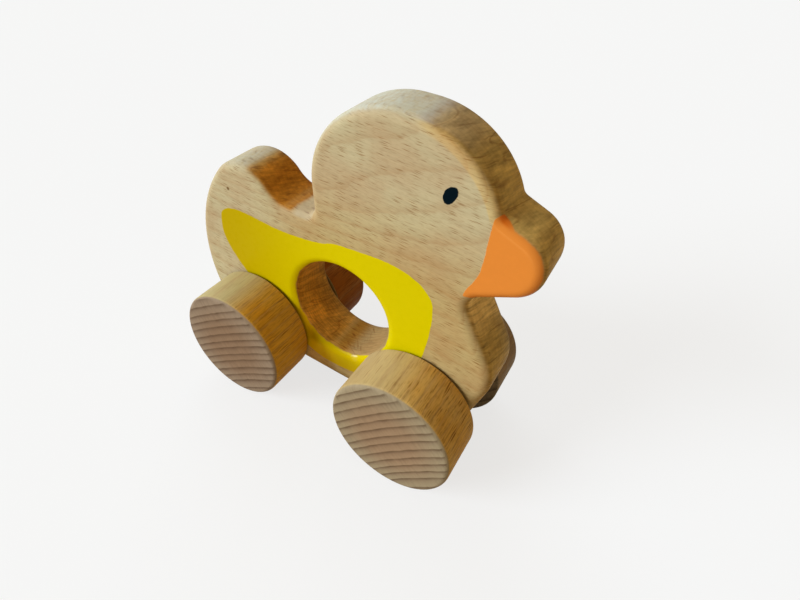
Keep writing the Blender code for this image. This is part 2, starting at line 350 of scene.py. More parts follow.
@dataclass(frozen=True)
class BeechFinish:
    """Sanded, oiled beech with year rings, rays, fibres and end grain, all solid through the piece.

    The attributes that are not named here are strengths. Steps are given by their two ends.

    Attributes:
        end_from, rings_from: how squarely a face has to cross the fibres to show end grain and its rings.
        end_edge: where end grain stops on the rounding to a flat side, as the size of the normal's y.
        sapwood: where the paler sapwood starts, in millimetres from the centre away from the heart.
        ray_size, pore_size: the room of a ray and a pore along and across the fibres, in millimetres.
        ray_depth: how far it reaches towards the heart, in millimetres, or 0 if right through.
        ray_edge: where a ray ends, as shares of its room.
    """

    cut: BeechCut
    tones: BeechTones = BeechTones()
    ring_contrast: float = 0.40
    ring_wander: float = 1.6
    end_ring_contrast: float = 0.10
    fleck_contrast: float = 0.85
    end_fleck_contrast: float = 0.42
    dash_contrast: float = 0.10
    streak: float = 0.30
    end_streak: float = 1.0
    end_band: float = 0.9
    end_vein: float = 0.45
    end_from: Spot = (0.0, 0.18)
    end_edge: Spot = (0.42, 0.975)
    rings_from: Spot = (-2.0, -1.0)
    # Share of end-grain colour on faces that look backward. It is low on the board, so its rear ends keep a
    # pale painted light and its front ends a brown painted shade.
    back_end: float = 0.12
    burnish: float = 0.36
    wear: float = 0.20
    sway: float = 0.5
    roughness: float = 0.50
    gloss: float = 0.015
    sapwood: Spot = (60.0, 80.0)
    ray_size: Spot = (5.4, 0.52)
    ray_depth: float = 0.0
    ray_edge: Spot = (0.04, 0.33)
    pore_size: Spot = (2.4, 0.32)

    RING_STOPS = ((0.0, 0.15), (0.35, 0.0), (0.72, 0.35), (0.93, 1.0), (1.0, 0.2))
    END_STOPS = (
        (0.0, 0.30), (0.06, 0.0), (0.30, 0.06), (0.55, 0.25),
        (0.74, 0.55), (0.86, 0.95), (0.95, 1.0), (1.0, 0.50),
    )
    # Lengths of swells in millimetres, those in threes along the fibres, outwards and round the heart.
    SWAY_LENGTH, RIPPLE_LENGTH, UNEVEN_LENGTH, BLOTCH_LENGTH, PATCH_LENGTH = 26.0, 3.5, 7.0, 17.0, 4.5
    BREAKS, FIBRES, DASHES = (5.0, 6.0, 2.2), (9.0, 0.5, 0.5), (6.0, 0.42, 0.42)
    SAW_MARKS, BANDS, VEINS = (1.2, 5.0, 0.5), (4.0, 14.0, 1.6), (14.0, 34.0, 4.0)
    RIPPLE = 0.45
    PORE_SHIFT = 31.0
    BREAK_STEP, DASH_STEP, VEIN_STEP = (0.38, 0.58), (0.36, 0.47), (0.003, 0.020)
    BLOTCH_STEP, PATCH_STEP, PICK_STEP = (0.38, 0.66), (0.42, 0.66), (0.0, 0.7)
    LYING_STEP, FORWARD_STEP = (0.25, 0.75), (-0.05, 0.20)
    WORN_EDGE, RUBBED_EDGE = ((0.25, 0.55), (0.75, 0.97)), ((0.10, 0.45), (0.93, 0.995))
    BUMP_STRENGTH, COAT_ROUGHNESS = 0.6, 0.22

    def layers(self, graph: Graph) -> Layers:
        """Adds the wood to a graph.

        Args:
            graph: the material's graph.

        Returns:
            The wood's colour, roughness and height.
        """
        tones = self.tones
        log = bent = graph.framed(*self.cut.log_frame())
        for length, reach in ((self.SWAY_LENGTH, 2 * self.sway), (self.RIPPLE_LENGTH, self.RIPPLE)):
            wave = graph.vector("SUBTRACT", graph.noise(log, length, 1.0, "Color"), MID_GREY)
            bent = graph.vector("ADD", bent, graph.vector("MULTIPLY", wave, (0.0, reach, reach)))
        along, out, across = graph.split(bent)
        radius = (out * out + across * across).root()
        place = (along, radius, across.bearing(out) * self.cut.heart_distance)

        uneven = graph.noise(graph.join(radius, 0.0, 0.0), self.UNEVEN_LENGTH, 1.0) * self.ring_wander
        year = ((radius + self._swell(graph)) / self.cut.ring_gap + uneven).fraction()
        late = graph.node("ShaderNodeValToRGB", {"stops": self.RING_STOPS}, {"Fac": year})
        end_late = graph.node("ShaderNodeValToRGB", {"stops": self.END_STOPS}, {"Fac": year})
        broken = graph.grain(place, self.BREAKS).rise(*self.BREAK_STEP)
        fleck = self._spindles(graph, place, self.ray_size) * (0.30 + 0.70 * broken)
        pore = self._spindles(graph, (along + self.PORE_SHIFT, *place[1:]), self.pore_size)
        fibre = graph.grain(place, self.FIBRES, 2.0)
        dash = graph.grain(place, self.DASHES).fade(*self.DASH_STEP)
        vein = abs(graph.grain(place, self.VEINS) - 0.5).fade(*self.VEIN_STEP)
        blotch = graph.noise(log, self.BLOTCH_LENGTH)
        patch = graph.noise(log, self.PATCH_LENGTH)

        normal = graph.object_normal()
        facing = graph.vector("DOT_PRODUCT", normal, tuple(Vector(self.cut.fibre).normalized()), "Value")
        edge = abs(graph.split(normal)[1])
        # Front-facing end grain turns brown as painted shade; rear-facing end grain mostly keeps the pale
        # colour as painted light.
        end = facing.rise(*self.end_from) + (0 - facing).rise(*self.end_from) * self.back_end
        end = end * edge.fade(*self.end_edge)
        # Edges that are rubbed pale and smooth; kept off the edges that face forward, so the paleness is
        # partly real rubbing and partly a painted highlight on the edges that face the light.
        worn = edge.between(*self.WORN_EDGE) * facing.fade(*self.FORWARD_STEP)
        sap = self._sap(graph, radius - self.cut.heart_distance)
        lying = abs(facing).fade(*self.LYING_STEP) * (1 - sap * 0.6)
        plain = graph.stack(
            graph.blend(blotch.rise(*self.BLOTCH_STEP), tones.pale, tones.rosy),
            (
                (sap, tones.sap),
                (late * self.ring_contrast, tones.ring),
                (dash * lying * self.dash_contrast, tones.fleck),
                (pore * lying * (0.35 * self.fleck_contrast), tones.fleck),
                (fleck * lying * self.fleck_contrast, tones.fleck),
                (worn * fibre * self.wear, tones.worn),
            ),
        )
        ringed = end_late * (0.5 + patch) * abs(facing).rise(*self.rings_from)
        rubbed = edge.between(*self.RUBBED_EDGE) * 0.7 + patch.rise(*self.PATCH_STEP) * 0.5
        cross = graph.stack(
            graph.blend(self._rubbed(graph), tones.end_pale, tones.end_rim),
            (
                (ringed * self.end_ring_contrast, tones.end_ring),
                (fleck * broken * self.end_fleck_contrast, tones.end_ring),
                (vein * broken * self.end_vein, tones.burnished),
                (rubbed * self.burnish, tones.burnished),
            ),
        )
        sawn = (graph.grain(place, self.SAW_MARKS, 2.0) - 0.5) * self.end_streak
        sawn = sawn + (graph.grain(place, self.BANDS) - 0.5) * self.end_band
        grain = (fibre - 0.5) * self.streak * lying * (1 - end) + sawn * end
        colour = graph.shaded(graph.blend(end, plain, cross), 0.96 + grain + blotch * 0.08)
        roughness = self.roughness + (fibre - 0.5) * 0.16 + fleck * 0.06 - worn * 0.08
        height = fibre * 0.035 - late * (1 - end * 0.6) * 0.02 - fleck * 0.03 - pore * 0.01
        return Layers(colour, roughness, height)

    def _sap(self, graph: Graph, beyond: Signal) -> Signal:
        """How pale the wood is near the bark, from 0 to 1."""
        return beyond.rise(*self.sapwood)

    def _swell(self, graph: Graph) -> Operand:
        """How far the rings are pushed outwards, in millimetres."""
        return 0.0

    def _rubbed(self, graph: Graph) -> Operand:
        """How pale the end grain has been rubbed, from 0 to 1."""
        return 0.0

    def _spindles(self, graph: Graph, place: tuple[Signal, Signal, Signal], size: Spot) -> Signal:
        """Scatters short spindles along the fibres, as rays and pores show.

        Args:
            graph: the material's graph.
            place: millimetres along the fibres, out from the heart of the log and round it.
            size: the room that each spindle has along and across the fibres, in millimetres.

        Returns:
            How strongly a spindle shows, from 0 to 1.
        """
        along, radius, arc = place
        inwards = radius / self.ray_depth if self.ray_depth else 0.0
        near = graph.node(
            "ShaderNodeTexVoronoi",
            {"voronoi_dimensions": "3D" if self.ray_depth else "2D"},
            {"Vector": graph.join(along / size[0], arc / size[1], inwards), "Scale": 1.0},
            "Distance",
        )
        pick = Signal(graph, near.socket.node.outputs["Color"])
        return near.fade(*self.ray_edge) * graph.split(pick)[0].rise(*self.PICK_STEP)

    def material(self, name: str) -> bpy.types.Material:
        """The finish as a material.

        Args:
            name: the material's name.

        Returns:
            The material.
        """
        made = bpy.data.materials.new(name)
        graph = Graph(made)
        layers = self.layers(graph)
        relief = {"Strength": self.BUMP_STRENGTH, "Distance": MM, "Height": layers.height}
        graph.close(
            {
                "Base Color": layers.colour,
                "Roughness": layers.roughness,
                "Normal": graph.node("ShaderNodeBump", None, relief),
                "Specular IOR Level": self.gloss,
                "Coat Weight": layers.coat,
                "Coat Roughness": self.COAT_ROUGHNESS,
            }
        )
        return made


@dataclass(frozen=True)
class RodSlice:
    """The wood of one wheel: the heart and ring gap of its cut, its colours and the strength of its rays."""

    heart: Point
    heart_distance: float
    tones: BeechTones
    flecks: float = 1.0
    ring_gap: float = 2.75


@dataclass(frozen=True)
class WheelBeechFinish(BeechFinish):
    """The rod's wood, with end grain on both flat faces.

    Attributes:
        rubbed_from: where the end grain gets paler, in millimetres from the middle.
        sap_behind: where the wood gets paler towards the rear, in millimetres ahead of the middle.
    """

    ring_wander: float = 0.9
    end_ring_contrast: float = 0.66
    fleck_contrast: float = 1.0
    end_fleck_contrast: float = 0.10
    dash_contrast: float = 0.28
    streak: float = 0.55
    end_streak: float = 0.45
    end_band: float = 0.0
    end_vein: float = 0.0
    end_from: Spot = (0.30, 0.65)
    end_edge: Spot = (2.0, 3.0)
    rings_from: Spot = (0.62, 0.97)
    back_end: float = 1.0
    burnish: float = 0.0
    wear: float = 0.0
    sway: float = 0.30
    sapwood: Spot = (10.5, 18.0)
    ray_size: Spot = (8.0, 0.60)
    ray_depth: float = 0.60
    ray_edge: Spot = (0.10, 0.48)
    rubbed_from: Spot = (7.0, 20.0)
    sap_behind: Spot = (-11.0, -3.0)

    def _sap(self, graph: Graph, beyond: Signal) -> Signal:
        """How pale the wood is near the bark and on the rear of the wheel, from 0 to 1."""
        x, _, _ = graph.split(graph.framed(self.cut.centre))
        return super()._sap(graph, beyond).at_least(x.fade(*self.sap_behind))

    def _rubbed(self, graph: Graph) -> Signal:
        """How pale the end grain has been rubbed towards the rim, from 0 to 1."""
        x, _, z = graph.split(graph.framed(self.cut.centre))
        return (x * x + z * z).root().rise(*self.rubbed_from) * 0.8


@dataclass(frozen=True)
class Paint:
    """A hand-brushed paint: its colour, its darker tone where thinly laid and in painted shade, its film in
    millimetres, its gloss and the strength of its painted highlight.
    """

    tone: Tone
    thin: Tone
    roughness: float
    film: float
    coat: float = 0.0
    bead: float = 0.0


@dataclass(frozen=True)
class Place:
    """A point of the board, in millimetres, and what the paint finds there.

    Attributes:
        ahead, side, up: the face's direction along x, along y without sign, and along z.
        depth, right: how far the point lies below the flat side, and 1 on the right half of the board.
        brushed, peel: uneven brushwork about 0, and fine unevenness about 0.5.
    """

    x: Signal
    y: Signal
    z: Signal
    ahead: Signal
    side: Signal
    up: Signal
    depth: Signal
    right: Signal
    brushed: Signal
    peel: Signal


@dataclass(frozen=True)
class Zone:
    """A part of the board, by where it starts and where it is full along the values of a place."""

    x: Spot | None = None
    y: Spot | None = None
    z: Spot | None = None
    ahead: Spot | None = None
    side: Spot | None = None
    up: Spot | None = None

    def share(self, place: Place) -> Signal:
        """How far the place is inside, from 0 to 1."""
        shares = [getattr(place, axis).step(*ends) for axis, ends in vars(self).items() if ends]
        return reduce(Signal.__mul__, shares)


@dataclass(frozen=True)
class Blot:
    """A round part of the board's sides, by its middle and the radii where it is full and where it ends."""

    x: float
    z: float
    full: float
    end: float

    def share(self, place: Place) -> Signal:
        """How far the place is inside, from 0 to 1."""
        ahead, above = place.x - self.x, place.z - self.z
        return (ahead * ahead + above * above).root().fade(self.full, self.end)


@dataclass(frozen=True)
class PaintedBeechFinish(BeechFinish):
    """The board's wood with its yellow wings, orange beak and dark eyes.

    Lengths are in millimetres.

    Attributes:
        eye_half, eye_lean: half of the eye's width and height, and how far it leans forward, in degrees.
        brow, glint: where the orange runs over the edge, and where the yellow is rubbed glossy.
        knot, hole: a pin knot in the right side, and the grip hole.
        notch, saddle, throat: the slope before the tail, the dip behind the head, the corner under the beak.
        front, low: the faces that look ahead, and the lower side, darkened as painted shade.
        swell: how far the rings are pushed outwards for each millimetre ahead of swell_from.
        swell_height: where that starts and is full.
    """

    FORWARD = {"ahead": (0.0, 0.2), "side": (0.975, 0.42)}

    half_board: float = 8.75
    yellow: Paint = Paint(Tone(212, 192, 0), Tone(178, 145, 0), 0.28, 0.05, 0.012)
    orange: Paint = Paint(Tone(224, 134, 53), Tone(206, 100, 22), 0.34, 0.05, 0.05, 0.30)
    dark: Paint = Paint(Tone(5, 18, 25), Tone(5, 18, 25), 0.60, 0.04)
    eye_centre: Spot = (31.8, 95.5)
    eye_half: Spot = (1.60, 2.80)
    eye_lean: float = 24.0
    brow: Blot = Blot(44.0, 91.6, 1.2, 4.2)
    knot: Blot = Blot(-42.0, 70.0, 0.35, 0.80)
    hole: Blot = Blot(1.1, 40.9, 17.2, 19.6)
    notch: Blot = Blot(-28.0, 80.0, 13.5, 17.0)
    throat: Blot = Blot(41.0, 64.0, 4.0, 14.0)
    saddle: Blot = Blot(-12.4, 72.0, 2.5, 5.0)
    glint: Blot = Blot(7.5, 23.5, 0.6, 1.7)
    front: Zone = Zone(**FORWARD)
    low: Zone = Zone(x=(-38.0, -5.0), z=(96.0, 60.0))
    swell: float = 0.09
    swell_from: float = 30.0
    swell_height: Spot = (62.0, 84.0)

    # A pale, cool painted sheen, and the tone of the paint's painted highlight.
    BLEACHED, BEAD_TONE = Tone(201, 202, 187), Tone(244, 164, 84)
    # Multipliers that paint light and shade: the lower side, the notch and the grip hole darker as painted
    # shade, and the throat lighter as painted light.
    LOW_TINT, NOTCH_TINT = (0.93, 0.80, 0.58, 1.0), (0.90, 0.54, 0.19, 1.0)
    THROAT_TINT, HOLE_BACK = (1.55, 1.65, 2.1, 1.0), (0.81, 0.77, 0.74, 1.0)
    HOLE_FLOOR, HOLE_FRONT = (0.76, 0.50, 0.17, 1.0), (1.12, 0.80, 0.36, 1.0)
    # Painted light and shade: the rounded edge of the head lighter and warmer, the crown of the head cooler
    # where it turns forward, the left half of the breast cooler, and the right edge of the keel darker.
    STAINS = (
        (Zone(x=(10.0, 25.0), z=(72.0, 86.0), ahead=(0.0, 0.12), side=(0.50, 0.80)), (1.14, 1.01, 0.78, 1.0)),
        (Zone(z=(92.0, 100.0), up=(0.74, 0.92), **FORWARD), (0.86, 0.90, 1.34, 1.0)),
        (Zone(y=(-1.0, 8.0), z=(64.0, 46.0), **FORWARD), (0.84, 0.93, 1.45, 1.0)),
        (Zone(x=(-8.0, 0.0), y=(1.0, -1.0), z=(15.0, 11.0)), (0.66, 0.56, 0.38, 1.0)),
    )
    # Where the paint takes its darker tone: more and more towards the tail, and as painted shade low down and
    # under the rear of the grip hole.
    THIN_TAIL, THIN = Zone(x=(5.0, -48.0)), (Zone(z=(32.0, 16.0)), Zone(x=(-3.0, -9.0), z=(38.0, 30.0)))
    # The low band on the right side under the grip hole, which takes painted light and shade.
    SUNK = (Zone(z=(24.0, 20.5)), Zone(x=(-8.0, -13.0), z=(36.0, 28.0)))
    SUNK_BEHIND = Zone(x=(-24.0, -20.0), y=(1.0, -1.0))
    # Lengths of swells in millimetres, those in threes along x, y and z.
    BRUSH_LENGTH, PEEL_LENGTH, MOTTLE_LENGTH = 2.2, 0.9, 1.3
    BORE_MARKS, SCUFFS = (6.0, 0.4, 2.5), (0.8, 2.6, 0.8)
    # Where the edges of the paint are, in millimetres inside the outlines and below the flat side.
    WING_EDGE, WING_DEPTH = (-0.5, -0.24), (0.55, 0.95)
    BEAK_EDGE, BEAK_DEPTH, BEAK_FOOT = (-0.1, 0.16), (0.9, 1.6), (70.0, 78.0)
    EYE_EDGE, BLED_DEPTH, BEAD_DEPTH = (-0.08, 0.1), (0.5, 1.3), ((0.0, 0.02), (0.05, 0.16))
    SKYWARD = (-0.55, 0.0, 0.83)

    def layers(self, graph: Graph) -> Layers:
        """Adds the wood and the paint over it to a graph.

        Args:
            graph: the material's graph.

        Returns:
            The colour, roughness, height and gloss of both.
        """
        wood = super().layers(graph)
        place = self._place(graph)
        x, z, brushed = place.x, place.z, place.brushed
        at_brow = self.brow.share(place) * place.right
        wing, beak, eye = self._covers(graph, place, at_brow)
        bled = at_brow * place.depth.rise(*self.BLED_DEPTH)
        # The darker paint tone: where the orange runs thinly over the brow, towards the tail, and as painted
        # shade low down and under the grip hole.
        thin = [self.THIN_TAIL.share(place) * 0.75, bled, *(zone.share(place) for zone in self.THIN)]
        # A lighter line along the upward-facing edges of the paint: a painted highlight.
        bead = place.depth.between(*self.BEAD_DEPTH) * place.up.rise(0.0, 0.3)
        # Brush streaks, plus painted light: the paint is lightened low down, where the wheels shade it, and
        # on the grip hole's rim where it turns forward, away from the light.
        streak = 0.98 + place.peel * 0.02 + brushed * 0.06 + z.fade(10.0, 40.0) * 0.26
        streak = streak + place.ahead.rise(0.05, 0.60) * self.hole.share(place) * 0.45
        colour, roughness, height = self._stained(graph, place, wood.colour), wood.roughness, wood.height
        coat = self.glint.share(place) * wing * place.right * 0.6
        for cover, paint in ((wing, self.yellow), (beak, self.orange), (eye, self.dark)):
            tone = graph.blend(reduce(Signal.at_least, thin), paint.tone, paint.thin)
            tone = graph.blend(bead * paint.bead, graph.shaded(tone, streak), self.BEAD_TONE)
            colour = graph.blend(cover, colour, tone)
            roughness = roughness * (1 - cover) + cover * (paint.roughness + brushed * 0.08)
            height = height * (1 - cover * 0.8) + cover * (paint.film + place.peel * 0.012)
            coat = coat + cover * paint.coat
        # Painted light and shade along the low band on the right side: lighter towards the rear, darker
        # towards the front.
        sunk = reduce(Signal.at_least, (zone.share(place) for zone in self.SUNK))
        sunk = sunk * self.SUNK_BEHIND.share(place)
        even = 1 + sunk * (0.18 + x.fade(-7.0, 1.0) * 0.38 - x.rise(-2.0, 5.0) * 0.31)
        return Layers(graph.shaded(colour, even), roughness, height, coat)

    def _place(self, graph: Graph) -> Place:
        """Looks up the point.

        Args:
            graph: the material's graph.

        Returns:
            The point, for the paint.
        """
        point = graph.framed()
        x, y, z = graph.split(point)
        ahead, aside, up = graph.split(graph.object_normal())
        depth = self.half_board - abs(y)
        brushed = graph.noise(point, self.BRUSH_LENGTH) - 0.5
        peel = graph.noise(point, self.PEEL_LENGTH, 1.0)
        return Place(x, y, z, ahead, abs(aside), up, depth, y.fade(-1.0, 1.0), brushed, peel)

    def _covers(self, graph: Graph, place: Place, at_brow: Signal) -> tuple[Signal, Signal, Signal]:
        """Finds where the board is painted.

        Args:
            graph: the material's graph.
            place: the point.
            at_brow: how near it is to the right brow.

        Returns:
            How well the yellow, the orange and the dark paint cover it, from 0 to 1.
        """
        brushed = place.brushed
        wing = (graph.attribute("wing") + brushed * 0.5).rise(*self.WING_EDGE)
        wing = wing * (place.depth + brushed * 0.7 - place.right * 0.25).fade(*self.WING_DEPTH)
        beak = (graph.attribute("beak") + brushed * 0.5).rise(*self.BEAK_EDGE)
        depth = place.depth + brushed * 0.8 - at_brow * 1.8 - place.z.fade(*self.BEAK_FOOT)
        beak = beak * depth.fade(*self.BEAK_DEPTH)
        return wing, beak, (self._eye_edge(graph) + brushed * 0.7).fade(*self.EYE_EDGE)

    def _stained(self, graph: Graph, place: Place, wood: Signal) -> Signal:
        """Tints the bare wood by place with painted light, shade and sheen, and adds bore marks in the grip
        hole and a knot.

        Args:
            graph: the material's graph.
            place: the point.
            wood: the wood's own colour.

        Returns:
            The tinted colour.
        """
        ahead, brushed, spot = place.ahead, place.brushed, (place.x, place.y, place.z)
        hole = self.hole.share(place)
        # Painted shade inside the grip hole: darker and warmer on the floor and the forward-facing wall,
        # greyer on the wall that faces back.
        lining = graph.blend(ahead.rise(0.0, 0.25), self.HOLE_FLOOR, self.HOLE_FRONT)
        lining = graph.blend(ahead.rise(-0.34, -0.04), self.HOLE_BACK, lining)
        # The slope before the tail gets painted shade: a darker, redder tint, mottled.
        slope = place.x.rise(-26.0, -23.0).at_least((ahead + brushed * 0.25).rise(0.04, 0.46))
        slope = slope * (place.x + (self.half_board - place.y) * 0.125 + brushed * 1.6).fade(-16.0, -14.0)
        notch = self.notch.share(place) * slope * place.side.fade(0.55, 0.92)
        tints = [(zone.share(place), tint) for zone, tint in self.STAINS]
        tints += [
            # The lower side, darkened as painted shade, except where it faces forward.
            (self.low.share(place) * (1 - self.front.share(place)), self.LOW_TINT),
            (hole, lining),
            (notch, self.NOTCH_TINT),
            # The corner under the beak, lightened as painted light.
            (self.throat.share(place) * place.side.fade(0.15, 0.60), self.THROAT_TINT),
        ]
        colour = graph.stack(wood, tints, "MULTIPLY")
        colour = graph.shaded(colour, 0.70 + graph.noise(graph.framed(), self.MOTTLE_LENGTH) * 0.60, notch)
        colour = graph.shaded(colour, 0.82 + 0.24 * graph.grain(spot, self.BORE_MARKS).rise(0.35, 0.60), hole)
        # A pale, cool colour on the high faces that look up and back, and on the saddle's upward faces: a
        # painted sheen where the light falls, broken up by noise.
        skyward = graph.vector("DOT_PRODUCT", graph.object_normal(), self.SKYWARD, "Value")
        bleach = 0.6 + brushed * 0.8 + (graph.grain(spot, self.SCUFFS, 2.0) - 0.5) * 1.3
        bleach = bleach * ahead.fade(0.05, 0.40) * skyward.rise(0.5, 1.0) * place.z.rise(74.0, 84.0)
        bleach = bleach.at_least(self.saddle.share(place) * place.up.rise(0.3, 0.7) * 0.22)
        knot = self.knot.share(place) * place.right * 0.85
        return graph.stack(colour, ((bleach, self.BLEACHED), (knot, self.tones.end_ring)))

    def _swell(self, graph: Graph) -> Signal:
        """How far the rings are pushed outwards in the head, where they fan out from the nape."""
        x, _, z = graph.split(graph.framed())
        return (x - self.swell_from) * self.swell * z.rise(*self.swell_height)

    def _eye_edge(self, graph: Graph) -> Signal:
        """The distance from the eye's edge.

        Args:
            graph: the material's graph.

        Returns:
            Millimetres outside the edge, below zero inside.
        """
        centre = Vector((self.eye_centre[0], 0.0, self.eye_centre[1])) * MM
        x, _, z = graph.split(graph.framed(centre, (0.0, math.radians(self.eye_lean), 0.0)))
        ahead, above = x / self.eye_half[0], z / self.eye_half[1]
        return ((ahead * ahead + above * above).root() - 1) * self.eye_half[0]


def add_object(name: str, data: bpy.types.ID) -> bpy.types.Object:
    """Adds an object to the scene.

    Args:
        name: its name.
        data: its mesh, light or camera.

    Returns:
        The object.
    """
    made = bpy.data.objects.new(name, data)
    bpy.context.scene.collection.objects.link(made)
    return made


def quarter_turn(steps: int) -> list[float]:
    """The angles from 0 to a right angle in equal steps."""
    return [math.pi / 2 * step / steps for step in range(steps + 1)]


@dataclass(frozen=True)
class Berth:
    """Where a piece belongs: its name, the body it rides on, the node it stands for, and a slot, which is not
    used.
    """

    name: str
    body: str
    node: str
    slot: str

    def settle(self, bm: BMesh, material: bpy.types.Material) -> bpy.types.Object:
        """Makes the piece from its mesh.

        Args:
            bm: the finished mesh, which is freed.
            material: the piece's finish.

        Returns:
            The piece, on its body.
        """
        bmesh.ops.remove_doubles(bm, verts=bm.verts, dist=WELD_DISTANCE)
        bmesh.ops.recalc_face_normals(bm, faces=bm.faces)
        for face in bm.faces:
            face.smooth = True
        for edge in bm.edges:
            edge.smooth = edge.calc_face_angle(0.0) < SHARP_ANGLE
        mesh = bpy.data.meshes.new(self.name)
        bm.to_mesh(mesh)
        bm.free()
        mesh.materials.append(material)
        piece = add_object(self.name, mesh)
        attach(piece, self.body)
        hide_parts(self.node)
        LOG.info("%s: %d faces on %s", piece.name, len(mesh.polygons), self.body)
        return piece


@dataclass
class ChickBody:
    """The sawn board: its silhouette, rounded edges, grip hole, axle bores and the painted outlines.

    The silhouette's corners are x, height above the axle line and radius, anticlockwise from under the rump.
    The painted outlines are x and height above the floor, in millimetres.
    """

    thickness: float = 0.0175
    edge_round: float = 0.0030
    bore_radius: float = 0.0044
    hole_radius: float = 0.0170
    hole_x: float = 0.0011
    hole_height: float = 0.0209
    arc_step: float = math.radians(2.0)
    straight_step: float = 0.0015
    round_steps: int = 9
    hole_sides: int = 144
    bore_sides: int = 48
    grid: float = 0.00125
    flat_angle: float = 0.01
    cut_distance: float = 1e-7

    CORNERS = (
        (-0.04425, -0.0100, 0.0116), (0.04355, -0.0100, 0.0180), (0.05325, 0.0224, 0.0170),
        (0.0391, 0.0463, 0.0046), (0.0574, 0.0557, 0.0095), (0.0574, 0.0684, 0.0095),
        (0.0449, 0.0735, 0.0025), (0.0373, 0.0916, 0.0310), (-0.0133, 0.0916, 0.0258),
        (-0.0088, 0.0520, 0.0030), (-0.0226, 0.0520, 0.0104), (-0.0373, 0.0674, 0.0140),
        (-0.0574, 0.0416, 0.0483), (-0.0574, 0.0092, 0.0483),
    )
    WING = (
        (-45.2, 60.5), (-37.8, 62.9), (-21.3, 62.3), (-6.7, 64.1), (-0.6, 66.3), (12.9, 67.8), (19.8, 67.7),
        (25.4, 66.3), (29.0, 64.0), (31.2, 60.9), (31.9, 54.6), (31.0, 42.3), (28.6, 32.0), (24.6, 25.5),
        (18.1, 20.3), (10.6, 17.6), (-3.0, 16.2), (-12.9, 19.2), (-24.5, 27.0), (-40.0, 41.5), (-45.6, 49.5),
        (-46.5, 55.5),
    )
    BEAK = (
        (43.1, 93.4), (42.6, 77.8), (41.5, 74.2), (39.9, 70.9), (39.3, 68.2),
        (70.0, 66.0), (70.0, 99.0), (48.0, 95.4), (45.4, 94.3), (44.3, 94.3),
    )

    def outline(self) -> Run:
        """Runs round the silhouette.

        Returns:
            Points with no long gaps, each with the direction that points out of the wood there.
        """
        count = len(self.CORNERS)
        spots = [Vector(corner[:2]) for corner in self.CORNERS]
        edges = [spots[(i + 1) % count] - spots[i] for i in range(count)]
        turns = [-edges[i - 1].angle_signed(edges[i]) for i in range(count)]
        reach = [self.CORNERS[i][2] * math.tan(abs(turns[i]) / 2) for i in range(count)]
        room = [min(1.0, edges[i].length / (reach[i] + reach[(i + 1) % count])) for i in range(count)]
        run: Run = []
        for i in range(count):
            limit = min(room[i - 1], room[i])
            start = spots[i] - edges[i - 1].normalized() * reach[i] * limit
            radius = math.copysign(self.CORNERS[i][2] * limit, turns[i])
            heading = math.atan2(edges[i - 1].y, edges[i - 1].x)
            centre = start - radius * Vector((math.sin(heading), -math.cos(heading)))
            steps = math.ceil(abs(turns[i]) / self.arc_step)
            for step in range(steps + 1):
                angle = heading + turns[i] * step / steps
                outward = Vector((math.sin(angle), -math.cos(angle)))
                run.append((centre + radius * outward, outward))
        even: Run = []
        for (here, outward), (there, _) in zip(run, run[1:] + run[:1]):
            gap = (there - here).length
            steps = math.ceil(gap / self.straight_step) if gap > 10 * WELD_DISTANCE else 0
            even.extend((here.lerp(there, step / steps), outward) for step in range(steps))
        return even

    @staticmethod
    def ring(x: float, height: float, radius: float, sides: int) -> Run:
        """Runs round a hole as outline does, at that height above the axle line."""
        spokes = [Vector((math.cos(a), math.sin(a))) for a in np.arange(sides) * (2 * math.pi / sides)]
        return [(Vector((x, height)) + radius * spoke, -spoke) for spoke in spokes]

    def build(self) -> BMesh:
        """Models the board.

        The right half is pulled from edges in the middle plane, closed by a gridded flank and mirrored.

        Returns:
            The board's mesh.
        """
        bm = bmesh.new()
        outward = bm.verts.layers.float_vector.new("outward")
        half = self.thickness / 2
        fillet = self.edge_round
        turns = quarter_turn(self.round_steps)
        rounded = [(fillet * (1 - math.cos(a)), half - fillet * (1 - math.sin(a))) for a in turns]
        runs = [
            (self.outline(), rounded),
            (self.ring(self.hole_x, self.hole_height, self.hole_radius, self.hole_sides), rounded),
        ]
        for x in (WHEELBASE / 2, -WHEELBASE / 2):
            runs.append((self.ring(x, 0.0, self.bore_radius, self.bore_sides), [(0.0, half)]))
        rims: Edges = []
        for run, pulls in runs:
            verts = [bm.verts.new((spot.x, 0.0, spot.y + AXLE_HEIGHT)) for spot, _ in run]
            for vert, (_, way) in zip(verts, run):
                vert[outward] = (way.x, 0.0, way.y)
            edges = [bm.edges.new(pair) for pair in zip(verts, verts[1:] + verts[:1])]
            inset = 0.0
            for deeper, out in pulls:
                edges = self._pull(bm, edges, outward, deeper - inset, -out)
                inset = deeper
            rims.extend(edges)
        bm.verts.layers.float_vector.remove(outward)
        self._close_flank(bm, rims)
        everything = bm.verts[:] + bm.edges[:] + bm.faces[:]
        bmesh.ops.mirror(bm, geom=everything, matrix=Matrix(), merge_dist=WELD_DISTANCE, axis="Y")
        return bm

    @staticmethod
    def _pull(
        bm: BMesh, edges: Edges, outward: bmesh.types.BMLayerItem, inset: float, y: float
    ) -> Edges:
        """Extrudes a closed run of edges.

        Args:
            bm: the mesh.
            edges: the run.
            outward: the layer with each point's outward direction.
            inset: how far the new run moves into the wood.
            y: where it ends up across the board.

        Returns:
            The new run.
        """
        made = bmesh.ops.extrude_edge_only(bm, edges=edges)["geom"]
        verts = {item for item in made if isinstance(item, bmesh.types.BMVert)}
        for vert in verts:
            vert.co -= vert[outward] * inset
            vert.co.y = y
        edges = [item for item in made if isinstance(item, bmesh.types.BMEdge)]
        return [edge for edge in edges if verts.issuperset(edge.verts)]

